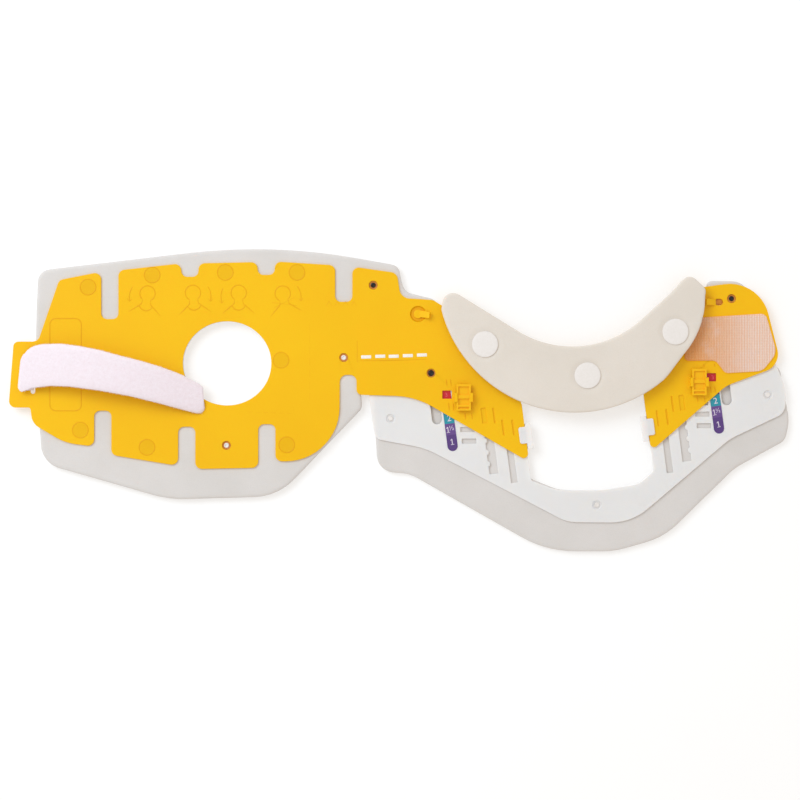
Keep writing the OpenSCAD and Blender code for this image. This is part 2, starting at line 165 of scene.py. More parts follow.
def yellow_plastic(name, base, deep):
    p = Paint(name)
    col = p.ramp(p.noise(9, 3, 0.55), [(0.3, deep), (0.7, base)])
    p.colour(p.tint(p.noise(2600, 2, 0.6), [(0.62, 0), (0.72, 0.2)], col, srgb(240, 172, 4)))
    p.roughness(p.noise(240, 4, 0.6), 0.36, 0.5)
    p.bump((p.noise(1500, 3, 0.6), 0.12, 0.06), (p.noise(38, 2, 0.5), 0.1, 0.5))
    p.set(Specular_IOR_Level=0.22)
    p.through(0.1, (0.004, 0.0018, 0.0004))
    return p.m


def milky_plastic(name, base, deep, weight):
    p = Paint(name)
    col = p.ramp(p.noise(14, 3, 0.5), [(0.3, deep), (0.7, base)])
    p.colour(p.tint(p.noise(3200, 1, 0.5), [(0.6, 0), (0.75, 0.3)], col, deep))
    p.roughness(p.noise(300, 3, 0.6), 0.3, 0.45)
    p.bump((p.noise(1300, 3, 0.6), 0.1, 0.05), (p.noise(30, 2, 0.5), 0.12, 0.5))
    p.through(weight, (0.006, 0.0045, 0.0035))
    return p.m


def foam(name, base, deep):
    p = Paint(name)
    col = p.ramp(p.noise(18, 4, 0.6), [(0.3, deep), (0.7, base)])
    pore = p.cells(1500)
    grain = p.noise(2300, 3, 0.7)
    col = p.tint(grain, [(0.55, 0), (0.7, 0.45)], col, dimmed(deep, 0.82))
    p.colour(p.tint(pore, [(0.0, 0.35), (0.25, 0)], col, dimmed(deep, 0.7)))
    p.roughness(grain, 0.72, 0.92)
    p.bump((pore, 0.22, 0.12), (grain, 0.2, 0.1), (p.noise(60, 3, 0.5), 0.2, 0.6))
    p.set(Specular_IOR_Level=0.25)
    p.through(0.15, (0.003, 0.0026, 0.0022))
    return p.m


def loop_pile(name):
    p = Paint(name)
    tufts = p.noise(1700, 4, 0.75)
    clumps = p.noise(420, 3, 0.6)
    col = p.ramp(clumps, [(0.3, srgb(239, 227, 233)), (0.7, srgb(244, 234, 241))])
    p.colour(p.tint(tufts, [(0.35, 0.4), (0.5, 0)], col, srgb(226, 208, 217)))
    p.roughness(tufts, 0.85, 1.0)
    p.bump((tufts, 0.6, 0.22), (clumps, 0.18, 0.3))
    p.set(Sheen_Weight=0.5, Sheen_Roughness=0.5, Specular_IOR_Level=0.15)
    p.through(0.1, (0.002, 0.0017, 0.0018))
    return p.m


def hook_plastic(name, base, deep):
    """The tape's colour runs along X, deeper orange towards its inner end: partly the yellow sheet showing
    through, partly painted shade.
    """
    p = Paint(name)
    rows = p.node("ShaderNodeTexWave", scale=160, distortion=0.6, detail=1.0)
    rows.bands_direction = "X"
    p.link(p.coord, rows.inputs["Vector"])
    row = rows.outputs["Fac"]
    lo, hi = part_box("hook_patch")
    place = p.node("ShaderNodeSeparateXYZ")
    p.link(p.coord, place.inputs["Vector"])
    along_x = p.node("ShaderNodeMapRange")
    along_x.inputs["From Min"].default_value = lo[0]
    along_x.inputs["From Max"].default_value = hi[0]
    p.link(place.outputs["X"], along_x.inputs["Value"])
    col = p.ramp(along_x.outputs["Result"], [(0.1, deep), (0.75, base)])
    col = p.tint(p.noise(60, 3, 0.6), [(0.5, 0), (0.75, 0.45)], col, srgb(240, 220, 216))
    p.colour(p.tint(row, [(0.2, 0.35), (0.8, 0)], col, deep))
    p.roughness(p.noise(500, 2, 0.5), 0.35, 0.6)
    p.bump((row, 0.4, 0.26), (p.noise(1800, 2, 0.5), 0.2, 0.1))
    p.through(0.2, (0.003, 0.002, 0.0015))
    return p.m


def small_plastic(name, base, deep, low=0.2, high=0.35):
    p = Paint(name)
    p.colour(p.ramp(p.noise(500, 3, 0.6), [(0.3, deep), (0.7, base)]))
    p.roughness(p.noise(900, 2, 0.6), low, high)
    p.bump((p.noise(1800, 2, 0.5), 0.1, 0.05))
    return p.m


def printed(name, base):
    p = Paint(name)
    p.colour(p.ramp(p.noise(1400, 3, 0.6), [(0.35, dimmed(base, 0.86)), (0.65, base)]))
    p.roughness(p.noise(600, 2, 0.5), 0.28, 0.42)
    p.bump((p.noise(2500, 2, 0.5), 0.06, 0.03))
    return p.m


YELLOW = yellow_plastic("yellow_sheet", srgb(248, 193, 4), srgb(244, 186, 3))
LOCK_YELLOW = yellow_plastic("yellow_lock", srgb(250, 196, 18), srgb(244, 182, 10))
MILKY = milky_plastic("clear_sheet", srgb(241, 237, 234), srgb(236, 231, 228), 0.35)
CHIN_MILKY = milky_plastic("chin_plate_sheet", srgb(236, 230, 224), srgb(229, 223, 216), 0.25)
PAD = foam("pad_foam", srgb(221, 217, 214), srgb(214, 210, 206))
CHIN = foam("chin_foam", srgb(229, 221, 211), srgb(223, 215, 204))
WHITE = small_plastic("white_rivet", srgb(238, 233, 229), srgb(233, 228, 223), 0.3, 0.45)
# Orange-brown for the rivet seats and the right hook hole's wall: painted shade.
CUP = small_plastic("rivet_cup", srgb(216, 142, 40), srgb(190, 112, 28), 0.35, 0.5)
# Deeper orange for the moulded beads and the left hook hole's wall: painted shade.
EDGE_SHADE = yellow_plastic("moulded_edge_painted_shade", srgb(242, 175, 3), srgb(236, 166, 2))
# A shade darker than the sheet, for the shallow ejector marks: painted shade of their hollows.
MARK = yellow_plastic("ejector_mark", srgb(247, 189, 3), srgb(243, 183, 2))
# Near-black for the rivets sunk in deep holes: painted shade of the holes' depths.
HOLE_SHADE_BLACK = small_plastic("black_rivet", srgb(34, 26, 25), srgb(18, 14, 14))
STEEL = small_plastic("pin_steel", srgb(190, 190, 190), srgb(160, 160, 162))
STEEL.node_tree.nodes["Principled BSDF"].inputs["Metallic"].default_value = 1.0
LOOP = loop_pile("loop_tape")
# The second colour of each is the deeper orange at the tape's inner end: partly the yellow sheet showing
# through, partly painted shade.
HOOK_BASE = hook_plastic("hook_tape", srgb(246, 208, 186), srgb(228, 152, 78))
HOOK_TIP = hook_plastic("hook_tips", srgb(253, 238, 232), srgb(238, 178, 118))
PURPLE = printed("label_purple", srgb(88, 58, 128))
VIOLET = printed("label_violet", srgb(104, 72, 142))
TEAL = printed("label_teal", srgb(38, 150, 170))
RED = printed("label_red", srgb(205, 22, 38))
PALE_INK = printed("label_numerals", srgb(232, 222, 238))
ROSE_INK = printed("label_numeral_rose", srgb(226, 96, 112))
WHITE_INK = printed("white_ink", srgb(252, 247, 238))


# ---------------------------------------------------------------- mesh helpers
def piece(name, verts, faces, mat, body, angle=40):
    """A mesh in millimetres becomes a piece in metres that rides on a body."""
    me = bpy.data.meshes.new(name)
    me.from_pydata([[c * MM for c in v] for v in verts], [], faces)
    bm = bmesh.new()
    bm.from_mesh(me)
    bmesh.ops.remove_doubles(bm, verts=bm.verts, dist=1e-7)
    bmesh.ops.recalc_face_normals(bm, faces=bm.faces)
    for f in bm.faces:
        f.smooth = True
    for e in bm.edges:
        e.smooth = not (len(e.link_faces) == 2 and e.calc_face_angle(0) > math.radians(angle))
    bm.to_mesh(me)
    bm.free()
    ob = bpy.data.objects.new(name, me)
    bpy.context.collection.objects.link(ob)
    me.materials.append(mat)
    if body:
        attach(ob, body)
    return ob


def turned(p, degrees):
    c, s = math.cos(math.radians(degrees)), math.sin(math.radians(degrees))
    return (p[0] * c - p[1] * s, p[0] * s + p[1] * c)


def placed(points, x, y, degrees, size=1.0):
    """Points about the origin, turned, scaled and moved to (x, y)."""
    out = []
    for p in points:
        u, v = turned(p, degrees)
        out.append((x + size * u, y + size * v))
    return out


def arc(cx, cy, r, a0, a1, n):
    return [(cx + r * math.cos(math.radians(a0 + (a1 - a0) * i / n)),
             cy + r * math.sin(math.radians(a0 + (a1 - a0) * i / n))) for i in range(n + 1)]


def rounded_box(cx, cy, w, h, r, n=5):
    out = []
    for sx, sy, a in ((1, 1, 0), (-1, 1, 90), (-1, -1, 180), (1, -1, 270)):
        out += arc(cx + sx * (w / 2 - r), cy + sy * (h / 2 - r), r, a, a + 90, n)
    return out


def tile(verts, faces, outline, z0, z1, round_by=0.0):
    """Adds a flat tile over a convex outline, its top edge rounded by round_by."""
    rings = [(0, z0), (0, z1 - round_by)]
    if round_by:
        rings += [(round_by * 0.3, z1 - round_by * 0.3), (round_by, z1)]
    mid = np.mean(outline, axis=0)
    n, base = len(outline), len(verts)
    for inset, z in rings:
        for x, y in outline:
            d = np.array([x, y]) - mid
            k = 1 - inset / max(np.linalg.norm(d), 1e-6)
            verts.append((mid[0] + d[0] * k, mid[1] + d[1] * k, z))
    for level in range(len(rings) - 1):
        for i in range(n):
            a, b = base + level * n + i, base + level * n + (i + 1) % n
            faces.append((a, b, b + n, a + n))
    faces.append(tuple(base + i for i in reversed(range(n))))
    faces.append(tuple(base + (len(rings) - 1) * n + i for i in range(n)))


def bead(verts, faces, path, z, half, rise, closed=False):
    """Adds a low moulded bead along a path on the sheet: a flattened half round, sunk a little."""
    pts = [np.array(p, float) for p in path]
    n, base, prof, sunk, taper = len(pts), len(verts), 7, 0.04, 0.35
    for i, p in enumerate(pts):
        before = pts[i - 1] if i or closed else p
        after = pts[(i + 1) % n] if i < n - 1 or closed else p
        way = after - before
        way = way / max(np.linalg.norm(way), 1e-9)
        side = np.array([-way[1], way[0]])
        end = taper if not closed and i in (0, n - 1) else 1.0
        for k in range(prof):
            a = math.pi * k / (prof - 1)
            q = p + side * half * end * math.cos(a)
            verts.append((q[0], q[1], z + rise * end * math.sin(a) - sunk))
    last = n if closed else n - 1
    for i in range(last):
        a, b = base + i * prof, base + (i + 1) % n * prof
        for k in range(prof - 1):
            faces.append((a + k, a + k + 1, b + k + 1, b + k))
        faces.append((a + prof - 1, a, b, b + prof - 1))
    if not closed:
        faces.append(tuple(base + k for k in range(prof)))
        faces.append(tuple(base + (n - 1) * prof + k for k in reversed(range(prof))))


def ring(verts, faces, cx, cy, z, major, minor, n=36, m=10):
    """Adds a round ring that lies flat: n steps round it and m round its section."""
    base = len(verts)
    for i in range(n):
        a = 2 * math.pi * i / n
        for k in range(m):
            b = 2 * math.pi * k / m
            r = major + minor * math.cos(b)
            verts.append((cx + r * math.cos(a), cy + r * math.sin(a), z + minor * math.sin(b)))
    for i in range(n):
        for k in range(m):
            faces.append((base + i * m + k, base + (i + 1) % n * m + k,
                          base + (i + 1) % n * m + (k + 1) % m, base + i * m + (k + 1) % m))


BEVEL_ANGLE = 38  # degrees: only edges sharper than this are softened


def dressed(name, mat, width):
    """A CAD node keeps its shape and gets a finish, and edges softened by width in millimetres."""
    ob = NODES[name]
    if not ob.material_slots:
        ob.data.materials.append(None)
    for s in ob.material_slots:
        s.link = "OBJECT"
        s.material = mat
    if width:
        weld = ob.modifiers.new("weld", "WELD")
        weld.merge_threshold = MERGE
        bev = ob.modifiers.new("bevel", "BEVEL")
        bev.width = width * MM
        bev.segments = 2
        bev.limit_method = "ANGLE"
        bev.angle_limit = math.radians(BEVEL_ANGLE)
        bev.use_clamp_overlap = False
        bev.harden_normals = False
    return ob


# ---------------------------------------------------------------- hard pieces
dressed("shell", YELLOW, 0.25)
dressed("chest_plate", MILKY, 0.25)
dressed("chin_plate", CHIN_MILKY, 0.25)
dressed("lock_left", LOCK_YELLOW, 0.3)
dressed("lock_right", LOCK_YELLOW, 0.3)
dressed("chin_rivets", WHITE, 0.08)
dressed("foam_rivets_white", WHITE, 0.2)
dressed("chest_rivets", WHITE, 0.2)
# These rivets sit deep in holes and are near-black: painted shade.
dressed("foam_rivets_black", HOLE_SHADE_BLACK, 0.2)
dressed("slide_rivets", HOLE_SHADE_BLACK, 0.2)
dressed("chin_hinge_pins", STEEL, 0.1)
dressed("hook_patch", HOOK_BASE, 0.2)
dressed("size_label_left", PURPLE, 0)
dressed("size_label_right", PURPLE, 0)


# ---------------------------------------------------------------- foam pads
def waves(x, y, seed, length):
    """A smooth, seeded undulation between about -1 and 1."""
    r = np.random.default_rng(seed)
    out = np.zeros_like(x)
    for _ in range(9):
        a = r.uniform(0, 2 * math.pi)
        per_mm = 2 * math.pi / (length * r.uniform(0.6, 1.9))
        phase = r.uniform(0, 6.3)
        out += np.sin((x * math.cos(a) + y * math.sin(a)) * per_mm + phase)
    return out / 5


def rivets_of(node):
    """Centres in millimetres of the separate round solids of a CAD node."""
    bm = bmesh.new()
    bm.from_mesh(NODES[node].data)
    bmesh.ops.remove_doubles(bm, verts=bm.verts, dist=MERGE)
    left, out = set(bm.verts), []
    while left:
        group, todo = [], [left.pop()]
        while todo:
            v = todo.pop()
            group.append(v.co.copy())
            for e in v.link_edges:
                o = e.other_vert(v)
                if o in left:
                    left.discard(o)
                    todo.append(o)
        g = np.array(group) / MM
        out.append(tuple((g.min(0) + g.max(0))[:2] / 2))
    bm.free()
    return sorted(out)


# The round curve of the chin pad's right end, fitted to points read off the photograph, in
# millimetres and in degrees about END_CENTRE. TIP repeats the tip that the CAD source states.
END_CENTRE = np.array((169.0, 80.7))
END_RADIUS = 68.6
END_DEPTH = 24
END_FROM, END_FADE_IN = -62, 24
END_TO, END_FADE_OUT = 6, 8
TIP = np.array((225.2, 89.9))
TIP_WIDER = 1.3


def round_right_end(co):
    """Draws the crescent's right outer edge in to one round curve, fading out below it."""
    step = co[:, :2] - END_CENTRE
    out = np.maximum(np.linalg.norm(step, axis=1), 1e-6)
    angle = np.degrees(np.arctan2(step[:, 1], step[:, 0]))
    zone = np.clip((angle - END_FROM) / END_FADE_IN, 0, 1) * np.clip((END_TO - angle) / END_FADE_OUT, 0, 1)
    bins = np.arange(END_FROM - 2, END_TO + 4, 2.0)
    edge = np.array([out[np.abs(angle - b) < 1.2].max(initial=END_RADIUS) for b in bins])
    over = np.maximum(np.interp(angle, bins, edge) - END_RADIUS, 0) * zone * zone * (3 - 2 * zone)
    near = np.clip((out - (END_RADIUS - END_DEPTH)) / END_DEPTH, 0, 1)
    co[:, :2] -= step / out[:, None] * (over * near * near)[:, None]
    step = co[:, :2] - TIP
    far = np.linalg.norm(step, axis=1)
    wide = TIP_WIDER * np.clip((co[:, 1] - 82) / 8, 0, 1) * np.clip(far / 4.5, 0, 1) * (far < 14)
    co[:, :2] += step / np.maximum(far, 1e-6)[:, None] * wide[:, None]


# The pockets in the chest pad's top face in which the slide rivets' heads travel, in millimetres
POCKET_RADIUS = 7
POCKET_FLAT = 6.4
POCKET_FLOOR = 3.6
POCKET_PAST_REST, POCKET_PAST_END = 2.4, 0.4


def clear_rivet_tracks(co):
    """Opens the pockets a little wider and deeper than cut, because smoothing fills them in."""
    slide = next(j for j in frame["joints"] if j["name"] == "height_slide")
    way = np.array(slide["axis"][:2])
    travel = slide["range_m"][1] / MM
    for x, y in rivets_of("slide_rivets"):
        start = np.array((x, y)) + POCKET_PAST_REST * way
        end = np.array((x, y)) - (travel + POCKET_PAST_END) * way
        t = np.clip((co[:, :2] - start) @ (end - start) / ((end - start) @ (end - start)), 0, 1)
        step = co[:, :2] - (start + t[:, None] * (end - start))
        far = np.maximum(np.linalg.norm(step, axis=1), 1e-6)
        wall = (far < POCKET_RADIUS) & (far > 5.2) & (co[:, 2] > 3.5)
        co[wall, :2] += (step / far[:, None] * (POCKET_RADIUS - far)[:, None])[wall]
        floor = (far <= POCKET_RADIUS) & (co[:, 2] > 3)
        level = np.where(far[floor] < POCKET_FLAT, POCKET_FLOOR, co[floor, 2])
        co[floor, 2] = np.minimum(co[floor, 2], level)


DIMPLE_FADE = 2.0
BROAD_WAVE, FINE_WAVE, FINE_SHARE = 46, 13, 0.3


def foam_pad(name, node, mat, body, voxel, soften, wave, dimples=(), lift=0.0, reshape=None):
    """A die-cut foam pad over a CAD solid: soft edges, a slight waviness and dimples.

    voxel, wave and lift are in millimetres, soften counts smoothing rounds, and each dimple is
    (x, y, radius, depth) in millimetres."""
    ob = bpy.data.objects.new(name, NODES[node].data.copy())
    bpy.context.collection.objects.link(ob)
    weld = ob.modifiers.new("weld", "WELD")
    weld.merge_threshold = MERGE
    mesh = ob.modifiers.new("remesh", "REMESH")
    mesh.mode = "VOXEL"
    mesh.voxel_size = voxel * MM
    dg = bpy.context.evaluated_depsgraph_get()
    me = bpy.data.meshes.new_from_object(ob.evaluated_get(dg))
    ob.modifiers.clear()
    ob.data = me
    co = np.zeros(len(me.vertices) * 3)
    me.vertices.foreach_get("co", co)
    co = co.reshape(-1, 3) / MM
    ed = np.zeros(len(me.edges) * 2, int)
    me.edges.foreach_get("vertices", ed)
    ed = ed.reshape(-1, 2)
    count = np.bincount(ed.ravel(), minlength=len(co))[:, None]
    z0, z1 = co[:, 2].min(), co[:, 2].max()
    for _ in range(soften):
        total = np.zeros_like(co)
        np.add.at(total, ed[:, 0], co[ed[:, 1]])
        np.add.at(total, ed[:, 1], co[ed[:, 0]])
        co = co * 0.5 + total / count * 0.5
    if reshape:
        reshape(co)
    up = np.clip((co[:, 2] - z0) / (z1 - z0), 0, 1)
    broad, fine = waves(co[:, 0], co[:, 1], 3, BROAD_WAVE), waves(co[:, 0], co[:, 1], 5, FINE_WAVE)
    co[:, 2] += up * (wave * broad + wave * FINE_SHARE * fine + lift)
    for x, y, r, deep in dimples:
        far = np.maximum(np.hypot(co[:, 0] - x, co[:, 1] - y) - r, 0)
        co[:, 2] -= up * deep * np.exp(-(far / DIMPLE_FADE) ** 2)
    me.vertices.foreach_set("co", (co * MM).ravel())
    me.polygons.foreach_set("use_smooth", [True] * len(me.polygons))
    me.materials.clear()
    me.materials.append(mat)
    me.update()
    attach(ob, body)
    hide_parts(node)
    return ob


CHIN_RIVETS = rivets_of("chin_rivets")
DIMPLE_RADIUS, DIMPLE_DEPTH = 10.6, 0.55
CHIN_DIMPLES = [(x, y, DIMPLE_RADIUS, DIMPLE_DEPTH) for x, y in CHIN_RIVETS]
foam_pad("back_pad", "back_foam", PAD, "collar", 1.2, 4, 0.12)
foam_pad("side_pad_right", "side_foam_right", PAD, "collar", 0.9, 4, 0.05)
foam_pad("chest_pad", "chest_foam", PAD, "chest", 1.1, 4, 0.1, reshape=clear_rivet_tracks)
foam_pad("chin_pad", "chin_foam", CHIN, "chin", 0.9, 4, 0.16,
         CHIN_DIMPLES, 0.3, round_right_end)


# ---------------------------------------------------------------- closure strap
STRAP_LO, STRAP_HI = (np.array(c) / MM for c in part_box("closure_strap"))
FOLD_LO, FOLD_HI = (np.array(c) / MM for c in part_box("strap_fold"))
ROOT_LO, ROOT_HI = (np.array(c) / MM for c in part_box("strap_root"))
# The tape's two edges from its fold to its tip, read off the photograph: millimetres
# right of the fold's line and above the middle of the tape's anchored end
TOP_EDGE = [(0, 13.8), (2.5, 16.4), (6, 18.5), (10, 19.9), (15, 20.9), (29.8, 21.3), (45.4, 19.3),
            (61, 16.2), (76.6, 11.9), (92.2, 8), (107.8, 3.3), (123.4, -2.5), (137.5, -9.6), (141.2, -12.6)]
LOW_EDGE = [(0, -16.2), (3.3, -14.9), (9, -12.9), (22, -11.3), (37.6, -11.9), (61, -15), (84.4, -19.3),
            (107.8, -25.1), (123.4, -29.4), (134, -32.2), (138.4, -33.2), (141.6, -31.6), (142.4, -29)]
STEPS_LONG, STEPS_WIDE, STEPS_FOLD = 170, 40, 18
TAPE_SHARE = 0.9  # of the height of the CAD's anchored tape above the sheet
FUZZ = 0.055  # millimetres
LOOPS = 5200
SLANT, SLANT_FADE = 2.4, 14
ARCH, ARCH_DROP = 13, 3.4


def along(points, n):
    """n + 1 evenly spaced places along a smooth line through the points."""
    p = np.array(points, float)
    t = np.r_[0, np.cumsum(np.linalg.norm(np.diff(p, axis=0), axis=1))]
    at = np.linspace(0, t[-1], n + 1)
    q = np.stack([np.interp(at, t, p[:, k]) for k in range(2)], 1)
    for _ in range(6):
        q[1:-1] = (q[:-2] + 2 * q[1:-1] + q[2:]) / 4
    return q


def slant(v, far):
    """The tape folds along a slanted line: its upper edge turns back sooner."""
    return SLANT * (1 + v) / 2 * math.exp(-far / SLANT_FADE)


def strap():
    """One ribbon: the anchored end below the sheet, up through the slot, the fold and the free arch."""
    thick = (ROOT_HI[2] - SHELL_TOP) * TAPE_SHARE
    fold_x, fold_y = STRAP_LO[0], (ROOT_LO[1] + ROOT_HI[1]) / 2
    mid_z, mid_r = (FOLD_LO[2] + FOLD_HI[2]) / 2, (FOLD_HI[2] - FOLD_LO[2]) / 2 - thick / 2 - 0.1
    span = STRAP_HI[0] - fold_x
    n, m = STEPS_LONG, STEPS_WIDE
    top, low = along(TOP_EDGE, n), along(LOW_EDGE, n)
    across = np.linspace(-1, 1, m + 1)
    across = np.sign(across) * np.abs(across) ** 0.85

    def height(x):
        t = np.clip((x - fold_x) / span, 0, 1)
        return mid_z + mid_r - ARCH_DROP * t + ARCH * np.sin(math.pi * t)

    rows = []
    half = (ROOT_HI[1] - ROOT_LO[1]) / 2
    slot_x, deep = ROOT_HI[0] - thick / 2, ROOT_LO[2] + thick / 2 + 0.1
    flat = mid_z - mid_r
    root = [(ROOT_LO[0] + 1 + i, deep) for i in range(0, int(slot_x - ROOT_LO[0]) - 2)]
    root += [(slot_x - 1.2, deep), (slot_x - 0.4, deep + 0.3), (slot_x, deep + 1), (slot_x, flat - 1.1),
             (slot_x - 0.3, flat - 0.4), (slot_x - 1.1, flat)]
    root += [(slot_x - 2 - i, flat) for i in range(0, int(slot_x - 2 - fold_x))]
    for x, z in root:
        above = z > flat - 0.2
        shy = (half - TOP_EDGE[0][1]) * math.exp(-(x - fold_x) / 3.5) if above else 0
        rows.append([(x + slant(v, x - fold_x) * above, fold_y + v * half - shy * (1 + v) / 2, z)
                     for v in across])
    for i in range(1, STEPS_FOLD):
        a = math.radians(270 - 180 * i / STEPS_FOLD)
        w = i / STEPS_FOLD
        bulge = math.sin(math.pi * w)
        hi = TOP_EDGE[0][1] - 4.2 * bulge
        lo = -half * (1 - w) + LOW_EDGE[0][1] * w + 2.4 * bulge
        mid, hw = (hi + lo) / 2, (hi - lo) / 2
        x, z = fold_x + mid_r * math.cos(a), mid_z + mid_r * math.sin(a)
        rows.append([(x + slant(v, 0), fold_y + mid + v * hw, z) for v in across])
    first = len(rows)
    for i in range(n + 1):
        row = []
        for v in across:
            x, y = (top[i] * (1 + v) + low[i] * (1 - v)) / 2
            z = height(x + fold_x)
            x += fold_x + slant(v, x)
            t = min(max((x - fold_x) / span, 0), 1)
            # What is nearer to the camera looks larger, so it is drawn in to match the picture
            near = (SHELL_TOP + CAMERA_HEIGHT - z) / CAMERA_HEIGHT
            z += 0.5 * (1 - v * v) - (0.3 + 1.5 * t) * abs(v) ** 7
            row.append((x * near, (fold_y + y) * near, z))
        rows.append(row)
    p = np.array(rows)
    ds = np.gradient(p, axis=0)
    dv = np.gradient(p, axis=1)
    normal = np.cross(ds, dv)
    normal /= np.maximum(np.linalg.norm(normal, axis=2, keepdims=True), 1e-9)
    body = thick / 2 * np.clip(1 - np.abs(across) ** 10, 0.16, 1) ** 0.5
    ends = np.ones(len(rows))
    ends[:2] = ends[-2:] = 0.7
    h = body[None, :] * ends[:, None]
    fuzz = np.random.default_rng(11)
    upper = p + normal * (h + fuzz.normal(0, FUZZ, h.shape))[:, :, None]
    under = p - normal * (h + fuzz.normal(0, FUZZ, h.shape))[:, :, None]
    verts = [tuple(v) for v in upper.reshape(-1, 3)] + [tuple(v) for v in under.reshape(-1, 3)]
    w, r, faces = m + 1, len(rows), []
    off = w * r
    for i in range(r - 1):
        for k in range(m):
            a = i * w + k
            faces.append((a, a + 1, a + w + 1, a + w))
            faces.append((off + a, off + a + w, off + a + w + 1, off + a + 1))
        for k in (0, m):
            a = i * w + k
            faces.append((a, a + w, off + a + w, off + a))
    for i in (0, r - 1):
        for k in range(m):
            a = i * w + k
            faces.append((a, a + 1, off + a + 1, off + a))
    ob = piece("closure_tape", verts, faces, LOOP, None, 180)
    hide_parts("closure_strap", "strap_root", "strap_fold")
    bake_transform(ob)
    loose_pile(p, normal, dv, h, first)


def loose_pile(p, normal, dv, h, first):
    """Loose loops of pile along the free tape's edges and over its faces."""
    r, m = p.shape[0], p.shape[1] - 1
    verts, faces = [], []
    pick = np.random.default_rng(5)
    for j in range(LOOPS):
        i = int(pick.integers(first + 3, r - 1))
        edge = j % 2 == 0
        k = (0 if pick.random() < 0.5 else m) if edge else int(pick.integers(1, m))
        up = normal[i, k] if pick.random() < 0.75 else -normal[i, k]
        base = p[i, k] + up * h[i, k] * (0.2 if edge else 0.9) + pick.normal(0, 0.2, 3) * (1 - np.abs(up))
        if edge:
            out = dv[i, k] / np.linalg.norm(dv[i, k]) * (-1 if k == 0 else 1)
        else:
            out = up + pick.normal(0, 0.8, 3)
        way = out + pick.normal(0, 0.55, 3)
        way /= np.linalg.norm(way)
        side = np.cross(way, pick.normal(0, 1, 3))
        side /= np.linalg.norm(side)
        long = pick.uniform(0.35, 0.9) * (1 if edge else 0.6)
        curl = pick.normal(0, 0.25, 3) * long
        b = len(verts)
        for t, wide in ((0, 0.07), (0.55, 0.055), (1, 0.02)):
            c = base + way * long * t + curl * t * t
            verts += [tuple(c + side * wide), tuple(c - side * wide)]
        faces += [(b, b + 1, b + 3, b + 2), (b + 2, b + 3, b + 5, b + 4)]
    piece("closure_tape_pile", verts, faces, LOOP, "strap", 180)


strap()


# ---------------------------------------------------------------- hook patch
PATCH_LO, PATCH_HI = (np.array(c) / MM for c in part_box("hook_patch"))


def inside(outline, x, y):
    """Whether a point lies inside a closed outline."""
    hit = False
    for (x1, y1), (x2, y2) in zip(outline, outline[1:] + outline[:1]):
        if (y1 > y) != (y2 > y) and x < (x2 - x1) * (y - y1) / (y2 - y1) + x1:
            hit = not hit
    return hit


def top_outline(node):
    """The outer corners, in order, of a flat node's top face, in millimetres."""
    bm = bmesh.new()
    bm.from_mesh(NODES[node].data)
    bmesh.ops.remove_doubles(bm, verts=bm.verts, dist=MERGE)
    z = max(v.co.z for v in bm.verts)
    cap = {f for f in bm.faces if all(abs(v.co.z - z) < 1e-6 for v in f.verts)}
    rim = [e for e in bm.edges if len([f for f in e.link_faces if f in cap]) == 1]
    step = {}
    for e in rim:
        a, b = e.verts
        step.setdefault(a, []).append(b)
        step.setdefault(b, []).append(a)
    start = next(iter(step))
    line, last, here = [start], None, start
    while True:
        nxt = [v for v in step[here] if v is not last]
        last, here = here, nxt[0]
        if here is start:
            break
        line.append(here)
    out = [(v.co.x / MM, v.co.y / MM) for v in line]
    bm.free()
    return out


# Height above the patch, half width and half length of a hook, from its foot to its tip
HOOK_LEVELS = ((-0.05, 0.3, 0.5), (0.14, 0.24, 0.42), (0.26, 0.1, 0.3))


def hooks():
    """Rows of small blunt hooks over the patch, each leaning a little its own way."""
    outline = top_outline("hook_patch")
    z = PATCH_HI[2]
    verts, faces = [], []
    pitch, step = 1.15, 1.25
    nx, ny = int((PATCH_HI[0] - PATCH_LO[0]) / pitch), int((PATCH_HI[1] - PATCH_LO[1]) / step)
    grip = np.random.default_rng(3)
    for i in range(1, nx):
        for j in range(1, ny):
            x, y = PATCH_LO[0] + i * pitch, PATCH_LO[1] + j * step
            if not all(inside(outline, x + a, y + b) for a, b in ((1, 0), (-1, 0), (0, 1), (0, -1))):
                continue
            lean = grip.normal(0, 0.06, 2)
            b = len(verts)
            for dz, wx, wy in HOOK_LEVELS:
                cx, cy = x + lean[0] * dz * 4, y + lean[1] * dz * 4
                verts += [(cx - wx, cy - wy, z + dz), (cx + wx, cy - wy, z + dz),
                          (cx + wx, cy + wy, z + dz), (cx - wx, cy + wy, z + dz)]
            for q in (0, 4):
                for k in range(4):
                    faces.append((b + q + k, b + q + (k + 1) % 4, b + q + 4 + (k + 1) % 4, b + q + 4 + k))
            faces.append((b + 8, b + 9, b + 10, b + 11))
            faces.append((b + 3, b + 2, b + 1, b))
    piece("hook_rows", verts, faces, HOOK_TIP, "collar", 30)


hooks()


# ---------------------------------------------------------------- moulded marks
# Places are read off the photograph, in millimetres, with the sheet's left end at -304.58
SHIFT = SHELL_LEFT + 304.58
EJECTOR_MARKS = [(-243, 88.5), (-193, 98), (-136, 100), (-80, 100), (-249, -23), (-197, -36.5),
                 (-88, -34.5), (-92.5, 31.5)]
# Each fitting step's middle and its turn in degrees
STEPS = ((-197.5, 77, -8), (-160.5, 77.5, 6), (-125.5, 77.5, 0), (-90, 77, 10))
STEP_SIZE = 1.2
# Middle, width and height of the ribs that stiffen the sheet by each lock and window
RIBS = ((38.3, 14.2, 3.3, 5.2), (40.2, -4.8, 3.6, 6.2), (53.8, -12.3, 5.2, 5.2),
        (241.5, 27.6, 8.5, 2.6), (235.2, 0.8, 5.6, 4.4), (244.5, 8.6, 3.2, 5.2))
DASHES = ((-26, 34), (-15, 34.5), (-4.5, 34.5), (6.5, 35), (17.5, 35.5))
DASH_TURN = 1.3


